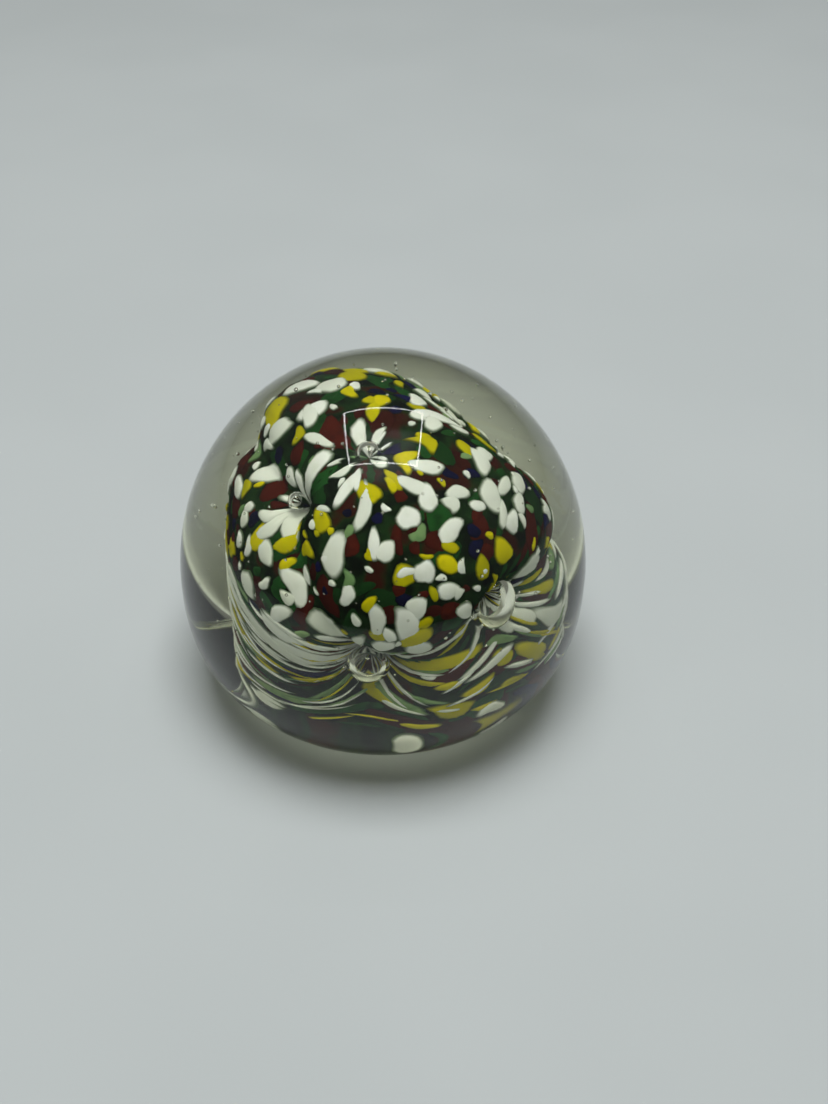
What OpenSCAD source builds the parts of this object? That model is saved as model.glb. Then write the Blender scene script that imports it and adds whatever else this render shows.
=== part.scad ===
// Solid glass dome paperweight with a bubble-pierced colour core.
//
// A clear inner gather is coated with a dark green ground, chips of coloured
// glass are melted into the ground, and dimples are pierced through the coat.
// A thick clear casing covers the core and closes each dimple's mouth, which
// traps an air bubble in it. Every part is fused to its neighbours.
//
// Millimetres. The origin is the centre of the flat foot, +Z is up and the
// front is towards -Y. An azimuth is measured from the front towards +X.

/* [Glass body] */
// Widest diameter of the casing
body_d = 75; // [70:1:80]
// Height of the crown above the foot
body_h = 64; // [62:0.5:68]
// Height of the widest level above the foot
waist_h = 23.5; // [22:0.5:26]
// Diameter of the flat foot
foot_d = 47; // [45:0.5:50]
// How full the underside is between the waist and the foot (2 is elliptical)
underside_power = 2.5; // [2:0.1:3]
// Width of the ground bevel around the foot
foot_bevel = 0.5; // [0.3:0.1:1]

/* [Colour core] */
// Diameter of the round head of the core
core_d = 40; // [39.5:0.1:40.5]
// Height of the head's centre above the foot
core_h = 25; // [24.5:0.1:25.5]
// How far the core's axis stands to the right of the body's axis
core_right = 1; // [0:0.5:2]
// How far the core's axis stands behind the body's axis
core_back = 3.5; // [2.5:0.5:4]
// Lean of the neck's side towards the axis
neck_lean = 11; // [9:1:13]
// Thickness of the green ground
ground_t = 1.6; // [1.6:0.1:1.8]

/* [Dimples and bubbles] */
// Radius of the rolled lip around each dimple's mouth
lip_r = 2; // [1.9:0.05:2.1]
// Glass between a bubble and the wall of its dimple
bubble_wall = 0.5; // [0.4:0.1:0.6]

/* [Chips] */
// Number of places on the core where a chip may be scattered
chip_places = 190; // [150:10:190]
// Thickness of a chip
chip_t = 0.7; // [0.5:0.05:0.8]
// Longest chip among the scattered ones
chip_long = 4.8; // [4.6:0.1:4.8]
// Shortest chip among the scattered ones
chip_short = 2.8; // [2.6:0.1:3]
// Seed of the scatter
chip_seed = 5; // [5, 11, 23]

/* [Hidden] */
$fn = 64;

body_r = body_d / 2;
foot_r = foot_d / 2;
crown_h = body_h - waist_h;
dome_steps = 32;
underside_steps = 20;
// Depth at which the underside's curve would close, if the foot weren't ground
underside_h = waist_h / pow(1 - pow(foot_r / body_r, underside_power), 1 / underside_power);

core_r = core_d / 2;
// The head runs into the neck's cone along this circle, where both lean alike
join_h = core_h - core_r * sin(neck_lean);
join_r = core_r * cos(neck_lean);

// Dimples: azimuth and height of the mouth, bubble radius, depth
DIMPLES = [
    [-57, 44.6, 1.9, 6],
    [-66, 38.3, 1.2, 5],
    [-11, 15.8, 2.8, 7],
    [53, 22.4, 3.3, 8],
    [130, 21.5, 1.7, 6],
    [-150, 25, 1.7, 6]
];

// The lip's crest clears the core by this much, so the two surfaces cross at an angle
lip_rise = 0.15;

// Large chips placed by hand: colour, azimuth, height, length, width, turn
LARGE_CHIPS = [
    ["white", -118, 41.6, 4.6, 2.2, 15], ["white", -94, 42.6, 4.4, 1.8, 50],
    ["white", -35, 42, 6, 2, 75], ["white", -16, 41, 7, 2, 86],
    ["white", -8, 37.5, 4.4, 2, 95], ["white", -27, 35.5, 6.5, 3.8, 90],
    ["white", -5, 27.5, 5.4, 2.6, 100], ["white", -3, 22.3, 3.8, 2.6, 10],
    ["white", 40, 43.5, 4.6, 2.8, 150], ["white", 26, 41.5, 4.4, 2.8, 80],
    ["white", -44, 28.5, 6.4, 3.4, 135], ["white", -28, 23, 7.4, 4, 155],
    ["white", -58, 17.5, 6.5, 4, 5], ["white", 132, 43, 7, 3.6, 55],
    ["white", 66, 38.5, 5.2, 4.2, 35], ["white", 24, 31, 3.6, 2.6, 15],
    ["white", 74, 25, 7, 3, 120], ["white", -68, 24, 4.6, 3.4, 120],
    ["yellow", -40, 38.5, 3.8, 3, 105], ["yellow", 10, 24, 4.4, 4, 0],
    ["yellow", 6, 34, 3.6, 3.4, 0], ["yellow", 4, 43.2, 3.4, 2, 110],
    ["yellow", 26, 34.5, 3.4, 2.8, 150], ["yellow", 25, 15.5, 7, 2.4, 20],
    ["yellow", 42, 32, 3.5, 2.9, 80], ["yellow", -124, 37.5, 5.4, 4, 35],
    ["oxblood", 3, 38.5, 3.6, 1.8, 80], ["oxblood", -68, 42, 3.8, 1.8, 5],
    ["oxblood", 17, 28.5, 3.8, 2.4, 0], ["oxblood", 6, 6, 7, 3.4, 100],
    ["emerald", -95, 38, 6.5, 3.4, 5], ["emerald", -28, 7, 7.4, 3, 160],
    ["pale", 15, 38.5, 3, 2.4, 40]
];

// Of every 25 scattered chips, how many have each colour
COLOUR_SHARES = [["white", 9], ["yellow", 5], ["oxblood", 5], ["emerald", 3], ["cobalt", 2], ["pale", 1]];
COLOUR_CYCLE = [for (share = COLOUR_SHARES) for (i = [1:share[1]]) share[0]];

// Scattered chips lie on a Fibonacci lattice: even steps of height, each a golden turn on
golden_turn = 180 * (3 - sqrt(5));
lattice_top = core_h + core_r * 0.985;
lattice_bottom = 4;
// Least glass left between a scattered chip and a large one
chip_gap = 0.25;

// Point of the dome's profile at an angle above the waist: radius and height
function dome_point(angle) = [body_r * cos(angle), waist_h + crown_h * sin(angle)];

// Radius of the underside at a depth below the waist
function underside_radius(depth) =
    body_r * pow(1 - pow(depth / underside_h, underside_power), 1 / underside_power);

// Radius of the core's outside at a height
function core_radius(h) = h > join_h
    ? sqrt(core_r * core_r - pow(h - core_h, 2))
    : join_r - (join_h - h) * tan(neck_lean);

// How far above level the core's outside faces at a height
function core_facing(h) = h > join_h ? asin((h - core_h) / core_r) : -neck_lean;

// Point on the core's outside, measured from the core's axis
function core_point(azimuth, h) = [
    core_radius(h) * sin(azimuth), -core_radius(h) * cos(azimuth), h
];

// Radius over which a dimple takes the ground away, lip included
function dimple_radius(dimple) = dimple[2] + bubble_wall + lip_r;

// Whether a chip of a length, centred on a point, is clear of every dimple
function clears_dimples(point, long) = min([
    for (dimple = DIMPLES) norm(point - core_point(dimple[0], dimple[1])) - dimple_radius(dimple)
]) > long / 2;

// Whether a chip of a length, centred on a point, is clear of the large chips
function clears_large_chips(point, long) = min([
    for (c = LARGE_CHIPS) norm(point - core_point(c[1], c[2])) - c[3] / 2
]) > long / 2 + chip_gap;

// Scattered chips as [colour, azimuth, height, length, width, turn]
long_draws = rands(chip_short, chip_long, chip_places, chip_seed);
width_draws = rands(0.55, 0.85, chip_places, chip_seed + 1);
turn_draws = rands(0, 180, chip_places, chip_seed + 2);
colour_draws = rands(0, len(COLOUR_CYCLE), chip_places, chip_seed + 3);
SCATTERED_CHIPS = [
    for (i = [0:chip_places - 1])
        let (
            h = lattice_top - (lattice_top - lattice_bottom) * (i + 0.5) / chip_places,
            azimuth = golden_turn * i,
            long = long_draws[i],
            point = core_point(azimuth, h)
        )
        if (clears_dimples(point, long) && clears_large_chips(point, long))
            [COLOUR_CYCLE[floor(colour_draws[i])], azimuth, h, long, long * width_draws[i], turn_draws[i]]
];
CHIPS = concat(LARGE_CHIPS, SCATTERED_CHIPS);

// Solid body of glass before anything is taken out of it
module body() {
    profile = concat(
        [[0, 0], [foot_r - foot_bevel, 0]],
        [
            for (i = [0:underside_steps])
                let (depth = (waist_h - foot_bevel) * cos(90 * i / underside_steps))
                [underside_radius(depth), waist_h - depth]
        ],
        [for (i = [1:dome_steps - 1]) dome_point(90 * i / dome_steps)],
        [[0, body_h]]
    );
    rotate_extrude() polygon(profile);
}

// Core's outer form, shrunk evenly by an inset
module core_form(inset) {
    head_r = core_r - inset;
    neck_top_h = core_h - head_r * sin(neck_lean);
    neck_top_r = head_r * cos(neck_lean);
    translate([core_right, core_back, 0]) {
        translate([0, 0, core_h]) sphere(head_r);
        cylinder(h = neck_top_h, r1 = neck_top_r - neck_top_h * tan(neck_lean), r2 = neck_top_r);
    }
}

// Stands children on the core's outside at an azimuth and height, with +Z outward
module on_core(azimuth, h) {
    translate([core_right, core_back, 0])
        rotate([0, 0, azimuth])
            translate([0, -core_radius(h), h])
                rotate([90 - core_facing(h), 0, 0])
                    children();
}

// Space pressed into the core by the piercing tool, grown evenly by an amount:
// a round-ended hole whose mouth opens over a rolled lip
module dimple_space(dimple, grown) {
    hole_r = dimple[2] + bubble_wall + grown;
    roll_r = lip_r - grown;
    on_core(dimple[0], dimple[1]) {
        translate([0, 0, -dimple[3]]) sphere(hole_r);
        translate([0, 0, -dimple[3]]) cylinder(h = dimple[3] + 1, r = hole_r);
        translate([0, 0, lip_rise - lip_r])
            rotate_extrude()
                difference() {
                    square([hole_r + roll_r, lip_r + 1]);
                    translate([hole_r + roll_r, 0]) circle(roll_r);
                }
    }
}

// Core with its dimples, shrunk evenly by an inset
module pierced_core(inset) {
    difference() {
        core_form(inset);
        for (dimple = DIMPLES) dimple_space(dimple, inset);
    }
}

// Air trapped in a dimple: a round end in the mouth, drawn to a tip inward
module bubble(dimple) {
    bubble_r = dimple[2];
    head_z = -bubble_r - 0.4;
    // The tail is a cone that touches the head's sphere all round
    tail_lean = 12;
    tail_top = head_z - bubble_r * sin(tail_lean);
    tail_top_r = bubble_r * cos(tail_lean);
    tail_h = dimple[3] - 1.5 * bubble_r;
    on_core(dimple[0], dimple[1]) {
        translate([0, 0, head_z]) sphere(bubble_r);
        translate([0, 0, tail_top - tail_h])
            cylinder(h = tail_h, r1 = tail_top_r - tail_h * tan(tail_lean), r2 = tail_top_r);
    }
}

// One chip lying in the ground: a tablet with round ends
module chip(azimuth, h, long, wide, turn) {
    end_x = (long - wide) / 2;
    on_core(azimuth, h)
        rotate([0, 0, turn])
            translate([0, 0, -(ground_t + chip_t) / 2])
                linear_extrude(chip_t) {
                    translate([-end_x, 0]) circle(wide / 2);
                    translate([end_x, 0]) circle(wide / 2);
                    square([2 * end_x, wide], center = true);
                }
}

module chips_of(colour) {
    for (c = CHIPS) if (c[0] == colour) chip(c[1], c[2], c[3], c[4], c[5]);
}

module clear_casing() {
    color("lightgrey", 0.3)
        difference() {
            body();
            pierced_core(0);
            for (dimple = DIMPLES) bubble(dimple);
        }
}

module inner_gather() {
    color("gainsboro") pierced_core(ground_t);
}

module green_ground() {
    color("darkgreen")
        difference() {
            pierced_core(0);
            pierced_core(ground_t);
            for (c = CHIPS) chip(c[1], c[2], c[3], c[4], c[5]);
        }
}

module white_chips() { color("ivory") chips_of("white"); }
module yellow_chips() { color("gold") chips_of("yellow"); }
module oxblood_chips() { color("maroon") chips_of("oxblood"); }
module emerald_chips() { color("seagreen") chips_of("emerald"); }
module cobalt_chips() { color("navy") chips_of("cobalt"); }
module pale_chips() { color("palegreen") chips_of("pale"); }

clear_casing();
inner_gather();
green_ground();
white_chips();
yellow_chips();
oxblood_chips();
emerald_chips();
cobalt_chips();
pale_chips();
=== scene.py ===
import math

import bpy
import numpy as np
from mathutils import Matrix, Vector


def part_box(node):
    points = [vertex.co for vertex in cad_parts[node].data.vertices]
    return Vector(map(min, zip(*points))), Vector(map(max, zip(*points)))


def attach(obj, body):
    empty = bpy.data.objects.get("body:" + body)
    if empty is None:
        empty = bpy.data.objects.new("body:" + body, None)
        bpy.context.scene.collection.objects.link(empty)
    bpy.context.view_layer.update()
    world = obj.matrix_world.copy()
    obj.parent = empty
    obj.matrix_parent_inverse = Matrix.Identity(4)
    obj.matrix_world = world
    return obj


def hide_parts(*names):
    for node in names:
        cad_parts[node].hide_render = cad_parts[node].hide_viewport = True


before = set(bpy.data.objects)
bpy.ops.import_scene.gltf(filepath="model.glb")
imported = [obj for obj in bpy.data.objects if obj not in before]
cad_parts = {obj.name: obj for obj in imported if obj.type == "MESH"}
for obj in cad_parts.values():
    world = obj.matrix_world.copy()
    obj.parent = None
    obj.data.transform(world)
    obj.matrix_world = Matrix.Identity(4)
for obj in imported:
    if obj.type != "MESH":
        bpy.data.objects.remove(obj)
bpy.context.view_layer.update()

# The looks of a glass dome paperweight: clear glass over a core that is coloured with melted
# chips and pierced with bubbles. Lengths are metres in the row frame: the foot stands on z = 0
# and the front faces -Y. An azimuth is measured in degrees from the front towards +X, and an
# elevation in degrees up from level. A direction is a unit vector from the core head's centre.

# ---------------------------------------------------------------- sizes

BODY_LOW, BODY_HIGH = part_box("clear_casing")
BODY_R = (BODY_HIGH.x - BODY_LOW.x) / 2
BODY_H = BODY_HIGH.z
WAIST_H = 0.367 * BODY_H
CROWN_H = BODY_H - WAIST_H
FOOT_R = 0.627 * BODY_R
FOOT_ROUND = 0.0006
# How full the underside is between the waist and the foot (2 is elliptical)
UNDERSIDE_POWER = 2.5
# Size of the hand-shaped dome's waves, as a share of its radius
UNEVEN = 0.0012

GROUND_LOW, GROUND_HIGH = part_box("green_ground")
# The melted head sits a little inside the CAD's round one, as chips stand proud of it
MELT = 0.0005
HEAD_R = (GROUND_HIGH.x - GROUND_LOW.x) / 2 - MELT
HEAD_CENTRE = np.array([
    (GROUND_LOW.x + GROUND_HIGH.x) / 2,
    (GROUND_LOW.y + GROUND_HIGH.y) / 2,
    GROUND_HIGH.z - MELT - HEAD_R,
])
NECK_LEAN = math.radians(14)
# The core ends this far above the table
CORE_FLOOR = 0.0006
COAT_T = 0.0016
# Gap between the coat and the gather inside it, so that their faces don't coincide
GATHER_GAP = 0.00002

# ---------------------------------------------------------------- vectors


def unit(v):
    return v / np.linalg.norm(v, axis=-1, keepdims=True)


def direction(azimuth, elevation):
    """The direction, or an array of directions, at an azimuth and an elevation."""
    a, e = np.radians(azimuth), np.radians(elevation)
    return np.stack([np.sin(a) * np.cos(e), -np.cos(a) * np.cos(e), np.sin(e)], axis=-1)


def angle_to(d, pole):
    return np.arccos(np.clip(d @ pole, -1, 1))


def sunk(d, start, span):
    """0 to 1 as a direction's Z falls from -start to -(start + span)."""
    return np.clip((-d[..., 2] - start) / span, 0, 1)


def tangents(d):
    """Level and uphill directions on the sphere at each unit vector."""
    level = unit(np.cross(np.array([0, 0, 1.0]), d) + 1e-9)
    return level, np.cross(d, level)


# ---------------------------------------------------------------- what the frame holds


def solids(node):
    """Corner clouds of the separate closed surfaces in a CAD node."""
    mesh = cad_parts[node].data
    co = np.empty(3 * len(mesh.vertices))
    mesh.vertices.foreach_get("co", co)
    points, same = np.unique(np.round(co.reshape(-1, 3), 7), axis=0, return_inverse=True)
    ends = np.empty(2 * len(mesh.edges), np.int64)
    mesh.edges.foreach_get("vertices", ends)
    a, b = same.reshape(-1)[ends].reshape(-1, 2).T
    # Every corner takes the lowest label among its neighbours until nothing changes
    label = np.arange(len(points))
    while True:
        low = np.minimum(label[a], label[b])
        new = label.copy()
        np.minimum.at(new, a, low)
        np.minimum.at(new, b, low)
        new = new[new]
        if (new == label).all():
            break
        label = new
    return [points[label == k] for k in np.unique(label)]


def dimples_of_frame():
    """Each trapped bubble's axis from the head's centre, outer end, inner end and radius."""
    found = []
    for cloud in solids("clear_casing"):
        too_big_for_a_bubble = np.ptp(cloud, axis=0).max() > 0.4 * BODY_R
        if too_big_for_a_bubble:
            continue
        from_head = cloud - HEAD_CENTRE
        axis = unit(from_head.mean(0))
        along = from_head @ axis
        level, _ = tangents(axis)
        found.append({
            "axis": axis, "outer": along.max() - MELT, "inner": along.min(),
            "radius": np.ptp(from_head @ level) / 2,
        })
    found.sort(key=lambda dimple: -dimple["axis"][2])
    return found


DIMPLES = dimples_of_frame()


def chips_of_frame(node):
    """Each chip's direction from the head's centre, turn on the surface, length and width."""
    found = []
    for cloud in solids(node):
        centre = (cloud.min(0) + cloud.max(0)) / 2
        middle = cloud.mean(0)
        _, axes = np.linalg.eigh(np.cov((cloud - middle).T))
        long_axis, wide_axis = axes[:, 2], axes[:, 1]
        d = unit(centre - HEAD_CENTRE)
        level, uphill = tangents(d)
        found.append({
            "at": d,
            "turn": math.atan2(long_axis @ uphill, long_axis @ level),
            "long": np.ptp(cloud @ long_axis), "wide": np.ptp(cloud @ wide_axis),
        })
    found.sort(key=lambda chip: -chip["at"][2])
    return found


# ---------------------------------------------------------------- the core's surface

# Bulges and hollows of the hand-shaped head: azimuth, elevation, rise and reach in radians
SWELLS = [
    (127, 15, -0.0016, 0.5), (105, -22, 0.0010, 0.5), (-150, 24, 0.0007, 0.6),
    (-105, -2, -0.0008, 0.5), (10, 30, 0.0012, 0.7), (-122, 32, 0.0022, 0.4),
    (140, 36, -0.0034, 0.5),
]
# The folds run between neighbouring dimples, counted from the highest one down
FOLDS = [(1, 5), (5, 3), (3, 4), (4, 2), (2, 1)]
FOLD_DEPTH = 0.0026
# A fold's half width, as an angle in radians
FOLD_REACH = 0.17
# A funnel's half width against its bubble's radius, and its depth against the bubble's length
FUNNEL_WIDE = 1.5
FUNNEL_DEEP = 0.85


def fold_angle(d, a, b):
    """Angle from each direction to the arc between two poles."""
    normal = unit(np.cross(a, b))
    beside = (d @ np.cross(normal, a) > 0) & (d @ np.cross(b, normal) > 0)
    ends = np.minimum(angle_to(d, a), angle_to(d, b))
    return np.where(beside, np.abs(np.arcsin(np.clip(d @ normal, -1, 1))), ends)


def core_radius(d):
    """Distance from the head's centre to the core's surface along unit directions."""
    climb = d[..., 2]
    across = np.sqrt(np.maximum(0, 1 - climb * climb))
    lean = math.tan(NECK_LEAN)
    join_r = HEAD_R * math.cos(NECK_LEAN)
    join_drop = HEAD_R * math.sin(NECK_LEAN)
    neck = (join_r + join_drop * lean) / np.maximum(across - climb * lean, 0.05)
    r = np.where(climb < -math.sin(NECK_LEAN), neck, HEAD_R)
    for azimuth, elevation, rise, reach in SWELLS:
        r = r + rise * np.exp(-(angle_to(d, direction(azimuth, elevation)) / reach) ** 2)
    fold = np.full(climb.shape, 9.0)
    for i, j in FOLDS:
        fold = np.minimum(fold, fold_angle(d, DIMPLES[i]["axis"], DIMPLES[j]["axis"]))
    r = r - FOLD_DEPTH * np.exp(-(fold / FOLD_REACH) ** 1.5)
    for dimple in DIMPLES:
        a = angle_to(d, dimple["axis"])
        mouth = FUNNEL_WIDE * dimple["radius"] / HEAD_R
        depth = FUNNEL_DEEP * (dimple["outer"] - dimple["inner"])
        r = r - depth * np.exp(-(a / mouth) ** 1.3)
    return r


def core_point(d):
    """Points on the core's surface in unit directions from the head's centre."""
    p = HEAD_CENTRE + d * core_radius(d)[..., None]
    below = p[..., 2] < CORE_FLOOR
    drop = np.where(below, (CORE_FLOOR - HEAD_CENTRE[2]) / np.minimum(d[..., 2], -1e-6), 0)
    return np.where(below[..., None], HEAD_CENTRE + d * drop[..., None], p)


def core_normal(d, step=0.01):
    """Outward normals of the core's surface, from points a small angle apart."""
    level, uphill = tangents(d)
    run = core_point(unit(d + step * level)) - core_point(unit(d - step * level))
    rise = core_point(unit(d + step * uphill)) - core_point(unit(d - step * uphill))
    return unit(np.cross(run, rise) + 1e-12)


# Angle in radians that every dimple swallows, and what a bubble as wide as the head would add
SWALLOWED = 0.12
SWALLOWED_BY_SIZE = 1.4
# How far round a dimple the surface is dragged, in radians, and the share of the drag that the
# stiff glass at the foot resists
DRAG_REACH = 0.6
HELD_AT_FOOT = 0.75


def drag(d):
    """Moves directions as the piercing tool dragged the hot surface into each dimple."""
    for dimple in DIMPLES:
        pole = dimple["axis"]
        a = angle_to(d, pole)
        lost = SWALLOWED + SWALLOWED_BY_SIZE * dimple["radius"] / HEAD_R
        lost = lost * (1 - HELD_AT_FOOT * sunk(d, 0.58, 0.25))
        after = np.sqrt(np.maximum(a * a - lost * lost * np.exp(-(a / DRAG_REACH) ** 2), 1e-5))
        side = unit(d - (d @ pole)[..., None] * pole + 1e-9)
        d = np.cos(after)[..., None] * pole + np.sin(after)[..., None] * side
    return d


def undrag(d):
    """The direction that drag() brings to d, as near as a few steps find it."""
    guess = d.copy()
    for _ in range(12):
        guess = unit(guess + 0.8 * (d - drag(guess)))
    return guess


# ---------------------------------------------------------------- meshes


def add_mesh(name, points, faces, smooth=True):
    mesh = bpy.data.meshes.new(name)
    mesh.from_pydata([tuple(p) for p in points], [], faces)
    mesh.update()
    mesh.polygons.foreach_set("use_smooth", [smooth] * len(mesh.polygons))
    piece = bpy.data.objects.new(name, mesh)
    bpy.context.scene.collection.objects.link(piece)
    return piece


def turned(profile, turns=256):
    """Closed surface of revolution about Z from (radius, height) pairs, poles first and last."""
    points, faces, rings = [], [], []
    for r, z in profile:
        count = 1 if r < 1e-9 else turns
        rings.append(range(len(points), len(points) + count))
        for k in range(count):
            t = 2 * math.pi * k / turns
            points.append((r * math.cos(t), r * math.sin(t), z))
    for upper, lower in zip(rings, rings[1:]):
        for k in range(turns):
            a, b = k, (k + 1) % turns
            if len(upper) == 1:
                faces.append((upper[0], lower[a], lower[b]))
            elif len(lower) == 1:
                faces.append((upper[a], lower[0], upper[b]))
            else:
                faces.append((upper[a], lower[a], lower[b], upper[b]))
    return np.array(points), faces


def ball(rings, sectors):
    """Points and faces of a unit ball."""
    profile = [
        (math.sin(math.pi * k / rings), math.cos(math.pi * k / rings)) for k in range(rings + 1)
    ]
    profile[0], profile[-1] = (0, 1), (0, -1)
    return turned(profile, sectors)


BALL_POINTS, BALL_FACES = ball(rings=10, sectors=18)


def set_attribute(piece, name, values):
    piece.data.attributes.new(name, "FLOAT", "POINT").data.foreach_set("value", values)


# ---------------------------------------------------------------- materials

GLASS_IOR = 1.52
# Faint olive tint: about the colour that a depth of 1 / density lets through
TINT = (0.96, 0.97, 0.68)
TINT_DENSITY = 16
# Just rough enough for the lamps to show as reflections without noise
POLISH = 0.035


def new_material(name):
    material = bpy.data.materials.new(name)
    material.use_nodes = True
    nodes = material.node_tree.nodes
    return material, material.node_tree, nodes["Principled BSDF"]


def glass(name, ior, tinted=True):
    """Clear glass or air, with its index against that of the glass or air around it."""
    material, tree, shader = new_material(name)
    shader.inputs["Base Color"].default_value = (1, 1, 1, 1)
    shader.inputs["Transmission Weight"].default_value = 1
    shader.inputs["Roughness"].default_value = POLISH
    shader.inputs["IOR"].default_value = ior
    if tinted:
        volume = tree.nodes.new("ShaderNodeVolumeAbsorption")
        volume.inputs["Color"].default_value = (*TINT, 1)
        volume.inputs["Density"].default_value = TINT_DENSITY
        output = tree.nodes["Material Output"]
        tree.links.new(volume.outputs["Volume"], output.inputs["Volume"])
    return material


def mix(tree, factor, a, b):
    """Colour between a and b, each a socket or a colour."""
    node = tree.nodes.new("ShaderNodeMix")
    node.data_type = "RGBA"
    tree.links.new(factor, node.inputs[0])
    for socket, value in ((node.inputs[6], a), (node.inputs[7], b)):
        if isinstance(value, tuple):
            socket.default_value = (*value, 1)
        else:
            tree.links.new(value, socket)
    return node.outputs[2]


def noise(tree, scale, detail=3, low=0.35, high=0.65):
    """Soft cloud from 0 to 1 over the object's own space."""
    place = tree.nodes.new("ShaderNodeTexCoord")
    cloud = tree.nodes.new("ShaderNodeTexNoise")
    cloud.inputs["Scale"].default_value = scale
    cloud.inputs["Detail"].default_value = detail
    tree.links.new(place.outputs["Object"], cloud.inputs["Vector"])
    return ramp(tree, cloud.outputs["Fac"], low, high)


def ramp(tree, value, low, high):
    """0 to 1 as a value rises from low to high, eased at both ends."""
    node = tree.nodes.new("ShaderNodeMapRange")
    node.interpolation_type = "SMOOTHSTEP"
    node.inputs["From Min"].default_value = low
    node.inputs["From Max"].default_value = high
    tree.links.new(value, node.inputs["Value"])
    return node.outputs["Result"]


def attribute(tree, name):
    """The value that set_attribute() gave each point."""
    node = tree.nodes.new("ShaderNodeAttribute")
    node.attribute_name = name
    return node.outputs["Fac"]


def chip_material(name, body, second, edge):
    """Opaque chip glass: two tones of one colour, thinning to an edge colour."""
    material, tree, shader = new_material(name)
    shader.inputs["Specular IOR Level"].default_value = 0
    shader.inputs["Roughness"].default_value = 0.4
    toned = mix(tree, attribute(tree, "tone"), body, second)
    clouded = mix(tree, noise(tree, 380, 4, 0.48, 0.80), toned, second)
    edged = mix(tree, ramp(tree, attribute(tree, "rim"), 0.70, 0.97), clouded, edge)
    tree.links.new(edged, shader.inputs["Base Color"])
    return material


def ground_material():
    """Dark green glass coat, clouded with black and with brown red."""
    material, tree, shader = new_material("ground_glass")
    shader.inputs["Specular IOR Level"].default_value = 0
    shader.inputs["Roughness"].default_value = 0.4
    green = mix(tree, noise(tree, 260), (0.004, 0.007, 0.004), (0.012, 0.036, 0.010))
    brown = mix(tree, noise(tree, 130, 2, 0.55, 0.62), green, (0.036, 0.009, 0.005))
    tree.links.new(brown, shader.inputs["Base Color"])
    return material


AIR = glass("air", 1 / GLASS_IOR, tinted=False)


# ---------------------------------------------------------------- glass


def dome_profile(steps=96, underside_steps=72, foot_steps=6):
    """Dome from the crown to the foot: a half ellipse, a fuller underside and a round foot edge."""
    closing = WAIST_H / (1 - (FOOT_R / BODY_R) ** UNDERSIDE_POWER) ** (1 / UNDERSIDE_POWER)
    profile = [
        (BODY_R * math.sin(0.5 * math.pi * k / steps),
         WAIST_H + CROWN_H * math.cos(0.5 * math.pi * k / steps))
        for k in range(steps + 1)
    ]
    for k in range(1, underside_steps + 1):
        depth = (WAIST_H - FOOT_ROUND) * math.sin(0.5 * math.pi * k / underside_steps)
        fullness = 1 - (depth / closing) ** UNDERSIDE_POWER
        profile.append((BODY_R * fullness ** (1 / UNDERSIDE_POWER), WAIST_H - depth))
    edge_r = profile[-1][0]
    for k in range(1, foot_steps + 1):
        t = 0.5 * math.pi * k / foot_steps
        profile.append((edge_r - FOOT_ROUND * (1 - math.cos(t)), FOOT_ROUND * (1 - math.sin(t))))
    return profile + [(0.6 * FOOT_R, 0), (0, 0)]


def dome():
    """The clear casing, with the slight unevenness of a hand-shaped surface."""
    points, faces = turned(dome_profile())
    above = np.clip(points[:, 2] / WAIST_H, 0, 1)
    a = np.arctan2(points[:, 1], points[:, 0])
    h = points[:, 2] / BODY_H
    wave = np.sin(2 * a + 0.7) + 0.5 * np.sin(3 * a + 5 * h) + 0.4 * np.sin(5 * h + a)
    # The waves add up to at most 1.9, so the dome only ever shrinks and stays in its CAD box
    points[:, :2] *= (1 - UNEVEN * above * (1.9 + wave))[:, None]
    piece = add_mesh("dome_glass", points, faces)
    piece.data.materials.append(glass("clear_glass", GLASS_IOR))
    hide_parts("clear_casing")
    return piece


def bubble(name, dimple):
    """Trapped air: a round head in the dimple's mouth, with a tail drawn out inward."""
    points, faces = ball(rings=40, sectors=64)
    up = points[:, 2]
    cap_r = dimple["radius"]
    head = dimple["outer"] - cap_r
    tail = head - dimple["inner"]
    taper = np.where(up < 0, 1 - 0.6 * np.maximum(-up, 0) ** 1.5, 1)
    # The largest bubble is an upright oval
    tall = 1.3 if cap_r > 0.003 else 1.0
    level, uphill = tangents(dimple["axis"])
    along = head + np.where(up > 0, cap_r * up, tail * up)
    sideways = np.outer(points[:, 0] * taper, level) + np.outer(points[:, 1] * taper * tall, uphill)
    placed = HEAD_CENTRE + np.outer(along, dimple["axis"]) + cap_r * sideways
    piece = add_mesh(name, placed, faces)
    piece.data.materials.append(AIR)
    return piece


# ---------------------------------------------------------------- coloured core


def foot_of_core(azimuths):
    """Elevation at which the core meets the foot, at each azimuth from the head's centre."""
    low = np.full(azimuths.shape, -85.0)
    high = np.zeros(azimuths.shape)
    for _ in range(40):
        middle = (low + high) / 2
        d = direction(azimuths, middle)
        above = HEAD_CENTRE[2] + core_radius(d) * d[..., 2] > CORE_FLOOR
        high = np.where(above, middle, high)
        low = np.where(above, low, middle)
    return high


def cup(inset, rings, sectors):
    """Rings of points down the core from its top to its foot, shrunk by an inset."""
    azimuths = 360 * np.arange(sectors) / sectors
    foot = foot_of_core(azimuths)
    share = np.linspace(0, 1, rings)[:, None]
    d = direction(azimuths + 0 * share, 89.9 + (foot - 89.9) * share)
    points = HEAD_CENTRE + d * (core_radius(d) - inset)[..., None]
    points[-1, :, 2] = CORE_FLOOR
    return points


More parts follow.
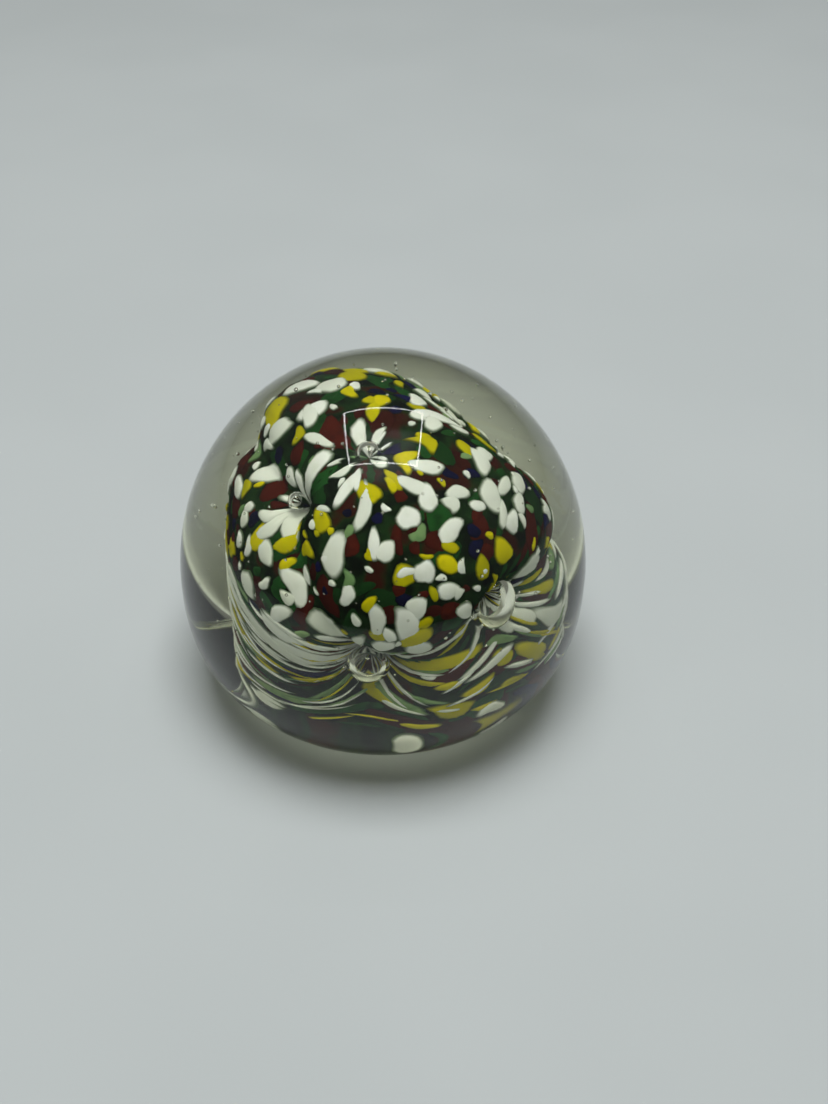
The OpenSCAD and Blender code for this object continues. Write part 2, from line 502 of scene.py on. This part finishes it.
def closed(name, rows):
    """Closed mesh over rings of points, with a flat cap on its first and its last ring."""
    rings, sectors = rows.shape[:2]
    faces = [tuple(range(sectors))]
    for i in range(rings - 1):
        for k in range(sectors):
            after = (k + 1) % sectors
            faces.append((
                i * sectors + after, i * sectors + k,
                (i + 1) * sectors + k, (i + 1) * sectors + after,
            ))
    last = (rings - 1) * sectors
    faces.append(tuple(last + k for k in reversed(range(sectors))))
    return add_mesh(name, rows.reshape(-1, 3), faces)


def ground_coat():
    """The dark coat: a cup over the inner gather, open at the foot."""
    outside = cup(0, rings=240, sectors=400)
    inside = cup(COAT_T, rings=60, sectors=400)[::-1]
    piece = closed("ground_coat", np.concatenate([outside, inside]))
    piece.data.materials.append(ground_material())
    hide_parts("green_ground")
    return piece


def gather():
    """The clear gather that fills the coat, which bends no light where it meets the casing."""
    piece = closed("inner_gather_glass", cup(COAT_T + GATHER_GAP, rings=60, sectors=200))
    piece.data.materials.append(glass("gather_glass", 1.0))
    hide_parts("inner_gather")
    return piece


def blob(chip, thick, lift, draws):
    """One melted chip: a wavy oval that follows the core and is dragged with its surface."""
    around = np.arctan2(BALL_POINTS[:, 1], BALL_POINTS[:, 0])
    out = np.hypot(BALL_POINTS[:, 0], BALL_POINTS[:, 1])
    wave = np.ones(len(around))
    for lobes, swing in ((2, 0.10), (3, 0.08), (5, 0.04)):
        wave += swing * np.sin(lobes * around + 6.3 * draws.random())
    x = BALL_POINTS[:, 0] * wave * chip["long"] / 2
    y = BALL_POINTS[:, 1] * wave * chip["wide"] / 2
    y += 0.22 * draws.normal() * chip["wide"] * BALL_POINTS[:, 0] ** 2
    across = (x * math.cos(chip["turn"]) - y * math.sin(chip["turn"])) / HEAD_R
    up = (x * math.sin(chip["turn"]) + y * math.cos(chip["turn"])) / HEAD_R
    at = chip["at"]
    if at[2] < -0.1:
        # A low chip is laid out by azimuth and elevation, so that its streak runs round the neck
        level_r = math.hypot(at[0], at[1])
        azimuths = np.degrees(math.atan2(at[0], -at[1]) + across / max(level_r, 0.3))
        elevations = np.degrees(np.clip(math.asin(at[2]) + up, -1.4, 1.4))
        d = direction(azimuths, elevations)
    else:
        level, uphill = tangents(at)
        d = unit(at + np.outer(across, level) + np.outer(up, uphill))
    d = drag(d)
    rise = np.sign(BALL_POINTS[:, 2]) * np.abs(BALL_POINTS[:, 2]) ** 0.8
    points = core_point(d) + core_normal(d) * (lift + thick * rise)[:, None]
    points[:, 2] = np.maximum(points[:, 2], CORE_FLOOR / 2)
    return points, out


def melted(colour, chips, draws, thick, lift, material):
    """All the chips of one colour as one piece."""
    clouds, faces, rims, tones = [], [], [], []
    for chip in chips:
        points, rim = blob(chip, thick, lift + draws.uniform(-0.00005, 0.00005), draws)
        start = len(clouds) * len(BALL_POINTS)
        clouds.append(points)
        faces += [tuple(i + start for i in face) for face in BALL_FACES]
        rims.append(rim)
        tones.append(np.full(len(points), draws.random()))
    piece = add_mesh(colour + "_melted", np.concatenate(clouds), faces)
    set_attribute(piece, "rim", np.concatenate(rims))
    set_attribute(piece, "tone", np.concatenate(tones))
    piece.data.materials.append(material)
    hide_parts(colour + "_chips")
    return piece


def lattice(count, draws, jitter):
    """Even scatter of directions over the sphere, in random order."""
    i = np.arange(count) + 0.5
    z = 1 - 2 * i / count
    a = math.pi * (3 - math.sqrt(5)) * i
    r = np.sqrt(1 - z * z)
    d = np.stack([r * np.cos(a), r * np.sin(a), z], axis=1)
    d = unit(d + jitter * draws.normal(size=d.shape))
    draws.shuffle(d)
    return d


def half_turn(angle):
    """The same line on the surface as a turn within a quarter turn of level."""
    return (angle + math.pi / 2) % math.pi - math.pi / 2


def toward_dimple(d):
    """Turn on the surface that aims at the nearest low dimple."""
    poles = [dimple["axis"] for dimple in DIMPLES if dimple["axis"][2] < 0.2]
    pole = min(poles, key=lambda pole: angle_to(d, pole))
    level, uphill = tangents(d)
    return half_turn(math.atan2(pole @ uphill, pole @ level))


# Below this Z of its direction a chip is close to the foot
NEAR_FOOT = -0.62
# Steepest slope of a streak, as an angle from level in radians
STREAK_SLOPE = 0.45
# Shares by which the neck draws a chip longer and narrower, and the width from which a chip
# narrows by a smaller share
DRAWN_LONGER = 1.6
DRAWN_NARROWER = 0.62
WIDE_CHIP = 0.003
WIDE_NARROWER = 0.40


def drawn_out(chip, draws):
    """Stretches a low chip towards its dimple, as the pinched neck draws it."""
    at = chip["at"]
    low = sunk(at, 0.12, 0.25)
    if low > 0:
        deep = sunk(at, -NEAR_FOOT, 0.2)
        aim = (1 - deep) * STREAK_SLOPE * math.sin(2 * toward_dimple(at)) + 0.05 * draws.normal()
        turn = half_turn(chip["turn"])
        chip["turn"] = turn + min(1, 2.5 * low) * (aim - turn)
        # The left side is pulled in long streaks, and the right side keeps short blotches
        pull = low * np.clip(0.75 - 1.3 * at[0], 0.4, 1)
        narrowing = DRAWN_NARROWER if chip["wide"] < WIDE_CHIP else WIDE_NARROWER
        chip["long"] *= (1 + DRAWN_LONGER * pull) * (1 - 0.40 * deep)
        chip["wide"] *= (1 - narrowing * pull) * (1 - 0.55 * deep)
    return chip


def scattered(places, draws, small, large, near_foot):
    """Extra chips of random size and turn; near_foot is the share kept close to the foot."""
    chips = []
    for d in places:
        if d[2] < NEAR_FOOT and draws.random() > near_foot:
            continue
        wide = small + (large - small) * draws.random() ** 1.6
        chips.append(drawn_out({
            "at": d, "turn": draws.uniform(0, math.pi),
            "long": wide * draws.uniform(1.0, 2.1), "wide": wide,
        }, draws))
    return chips


def threads(places, draws, near_foot):
    """Thin streaks of colour that the pinched neck drew out of the chips."""
    chips = []
    for d in places:
        kept = 1 if d[2] > NEAR_FOOT else near_foot
        on_the_neck = d[2] < -0.18
        if on_the_neck and draws.random() < kept:
            wide = draws.uniform(0.0006, 0.0013)
            chips.append(drawn_out({
                "at": d, "turn": 0.2 * draws.normal(),
                "long": draws.uniform(0.0025, 0.0055), "wide": wide,
            }, draws))
    return chips


def framed(node, draws):
    """The frame's chips, moved so that the drag brings each one back to its place."""
    chips = chips_of_frame(node)
    for chip in chips:
        chip["at"] = undrag(chip["at"])
    return [drawn_out(chip, draws) for chip in chips]


# Each colour of chip, from the deepest up. Body and second are its two tones, and edge is the
# tone where it thins. Extra chips are added to the frame's, with widths between two limits.
# Thick is a chip's half thickness, and lift is its middle's height over the core's surface.
# Streaks is the colour's share of the thin streaks, and near_foot the share kept by the foot.
COLOURS = {
    "emerald": {
        "body": (0.016, 0.085, 0.018), "second": (0.008, 0.028, 0.008), "edge": (0.005, 0.014, 0.005),
        "extra": 190, "widths": (0.0018, 0.0052), "thick": 0.00040, "lift": -0.00030,
        "streaks": 0.24, "near_foot": 1.0,
    },
    "oxblood": {
        "body": (0.075, 0.011, 0.006), "second": (0.030, 0.007, 0.005), "edge": (0.014, 0.005, 0.004),
        "extra": 140, "widths": (0.0014, 0.0044), "thick": 0.00040, "lift": -0.00024,
        "streaks": 0.09, "near_foot": 1.0,
    },
    "cobalt": {
        "body": (0.007, 0.008, 0.055), "second": (0.005, 0.006, 0.022), "edge": (0.004, 0.006, 0.010),
        "extra": 70, "widths": (0.0012, 0.0030), "thick": 0.00040, "lift": -0.00018,
        "streaks": 0.04, "near_foot": 0.6,
    },
    "pale": {
        "body": (0.26, 0.40, 0.18), "second": (0.12, 0.24, 0.10), "edge": (0.03, 0.07, 0.03),
        "extra": 24, "widths": (0.0012, 0.0026), "thick": 0.00040, "lift": -0.00014,
        "streaks": 0.15, "near_foot": 1.0,
    },
    "yellow": {
        "body": (0.70, 0.62, 0.004), "second": (0.45, 0.42, 0.004), "edge": (0.07, 0.08, 0.004),
        "extra": 120, "widths": (0.0009, 0.0032), "thick": 0.00040, "lift": -0.00009,
        "streaks": 0.08, "near_foot": 0.6,
    },
    "white": {
        "body": (0.93, 0.97, 0.99), "second": (0.80, 0.85, 0.82), "edge": (0.07, 0.11, 0.06),
        "extra": 230, "widths": (0.0008, 0.0034), "thick": 0.00042, "lift": -0.00004,
        "streaks": 0.40, "near_foot": 0.7,
    },
}
STREAKS = 1100


def coloured_chips():
    """One piece for each colour of chip: the frame's, the extra ones and the streaks."""
    draws = np.random.default_rng(12)
    places = lattice(sum(look["extra"] for look in COLOURS.values()), draws, 0.03)
    streaks = lattice(STREAKS, draws, 0.02)
    made, used, drawn = [], 0, 0
    for colour, look in COLOURS.items():
        end = used + look["extra"]
        more = scattered(places[used:end], draws, *look["widths"], look["near_foot"])
        used = end
        end = drawn + round(STREAKS * look["streaks"])
        more += threads(streaks[drawn:end], draws, look["near_foot"])
        drawn = end
        both = more + framed(colour + "_chips", draws)
        material = chip_material(colour + "_glass", look["body"], look["second"], look["edge"])
        made.append(melted(colour, both, draws, look["thick"], look["lift"], material))
    return made


def seeds(count=240):
    """Fine air seeds in the casing, most of them close to the core."""
    draws = np.random.default_rng(31)
    points, faces = ball(rings=8, sectors=12)
    clouds, every = [], []
    for d in lattice(count, draws, 0.15):
        if d[2] < -0.5:
            continue
        r = core_radius(d) + 0.0004 + 0.006 * draws.random() ** 2
        size = 0.00010 + 0.00018 * draws.random() ** 2
        start = len(clouds) * len(points)
        clouds.append(HEAD_CENTRE + d * r + size * points)
        every += [tuple(i + start for i in face) for face in faces]
    piece = add_mesh("seed_bubbles", np.concatenate(clouds), every)
    piece.data.materials.append(AIR)
    return piece


# ---------------------------------------------------------------- the object

pieces = [dome(), gather(), ground_coat(), *coloured_chips()]
pieces += [bubble("trapped_bubble_%d" % (k + 1), dimple) for k, dimple in enumerate(DIMPLES)]
pieces.append(seeds())
for piece in pieces:
    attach(piece, "root")

# ---------------------------------------------------------------- the studio

# The overhead panel, and the square of strip lights under it: distance from the waist's
# centre, lean towards the back, side and power
PANEL_AWAY = 1.2
PANEL_TILT = math.radians(-2)
PANEL_SIDE = 0.66
PANEL_WATTS = 19.0
SQUARE_AWAY = 0.55
SQUARE_TILT = math.radians(10)
SQUARE_SIDE = 0.635 * SQUARE_AWAY
STRIP_WIDE = 0.006
STRIP_WATTS = 0.10

CAMERA_UP = math.radians(40)
CAMERA_AWAY = 6.5 * BODY_R
# The radius of the object's outline as a share of the picture's height
OUTLINE_SHARE = 0.18433
# Keeps the board's face clear of the foot
FLOOR_GAP = 0.00002


def floor():
    """Pale board under the object."""
    half = 1.5
    piece = add_mesh(
        "studio_floor", [(-half, -half, 0), (half, -half, 0), (half, half, 0), (-half, half, 0)],
        [(0, 1, 2, 3)], smooth=False,
    )
    piece.location.z = -FLOOR_GAP
    material, tree, shader = new_material("pale_board")
    shader.inputs["Roughness"].default_value = 0.9
    shader.inputs["Specular IOR Level"].default_value = 0.1
    board = mix(tree, noise(tree, 12, 2), (0.352, 0.378, 0.376), (0.362, 0.388, 0.386))
    tree.links.new(board, shader.inputs["Base Color"])
    piece.data.materials.append(material)


def sky():
    """Soft white tent all round, dimmer towards its open side behind the camera."""
    world = bpy.data.worlds.new("tent")
    bpy.context.scene.world = world
    world.use_nodes = True
    tree = world.node_tree
    background = tree.nodes["Background"]
    background.inputs["Color"].default_value = (0.955, 1.0, 0.99, 1)
    place = tree.nodes.new("ShaderNodeTexCoord")
    split = tree.nodes.new("ShaderNodeSeparateXYZ")
    tree.links.new(place.outputs["Generated"], split.inputs[0])
    # The tent is dim where Y is low, which is behind the camera, and bright from the sides back
    light = tree.nodes.new("ShaderNodeMapRange")
    light.inputs["From Min"].default_value = -0.95
    light.inputs["From Max"].default_value = -0.2
    light.inputs["To Min"].default_value = 0.05
    light.inputs["To Max"].default_value = 0.16
    tree.links.new(split.outputs["Y"], light.inputs["Value"])
    tree.links.new(light.outputs["Result"], background.inputs["Strength"])


def overhead(away, tilt):
    """Place above the object, leaning towards the back by an angle."""
    return Vector((0, away * math.sin(tilt), WAIST_H + away * math.cos(tilt)))


def soft_light():
    """Broad overhead panel, kept out of reflections so that the glass stays clear to look into."""
    light = bpy.data.lights.new("overhead", "AREA")
    light.size = PANEL_SIDE
    light.energy = PANEL_WATTS
    lamp = bpy.data.objects.new("overhead", light)
    lamp.location = overhead(PANEL_AWAY, PANEL_TILT)
    lamp.rotation_euler = (-PANEL_TILT, 0, 0)
    lamp.visible_glossy = False
    bpy.context.scene.collection.objects.link(lamp)


def lamp_square():
    """Square of four thin strip lights, which the polished crown mirrors."""
    for k in range(4):
        light = bpy.data.lights.new("strip_%d" % (k + 1), "AREA")
        light.shape = "RECTANGLE"
        light.size = SQUARE_SIDE
        light.size_y = STRIP_WIDE
        light.energy = STRIP_WATTS
        strip = bpy.data.objects.new("strip_%d" % (k + 1), light)
        place = Matrix.Translation(overhead(SQUARE_AWAY, SQUARE_TILT))
        lean = Matrix.Rotation(-SQUARE_TILT, 4, "X")
        around = Matrix.Rotation(0.5 * math.pi * k, 4, "Z")
        aside = Matrix.Translation((0, SQUARE_SIDE / 2, 0))
        strip.matrix_world = place @ lean @ around @ aside
        bpy.context.scene.collection.objects.link(strip)


def camera():
    """Looks down on the front, as close as a hand-held picture is taken."""
    target = Vector((0, 0, WAIST_H))
    back = Vector((0, -math.cos(CAMERA_UP), math.sin(CAMERA_UP)))
    data = bpy.data.cameras.new("camera")
    data.sensor_width = 36
    data.lens = data.sensor_width * OUTLINE_SHARE * math.sqrt((CAMERA_AWAY / BODY_R) ** 2 - 1)
    # The object stands a little left of the picture's middle, and a little below it
    data.shift_x = 0.028
    data.shift_y = 0.010
    data.clip_start = 0.01
    eye = bpy.data.objects.new("camera", data)
    eye.location = target + back * CAMERA_AWAY
    eye.rotation_euler = (math.radians(90) - CAMERA_UP, 0, 0)
    bpy.context.scene.collection.objects.link(eye)
    bpy.context.scene.camera = eye


floor()
sky()
soft_light()
lamp_square()
camera()
bpy.context.scene.view_settings.view_transform = "Standard"
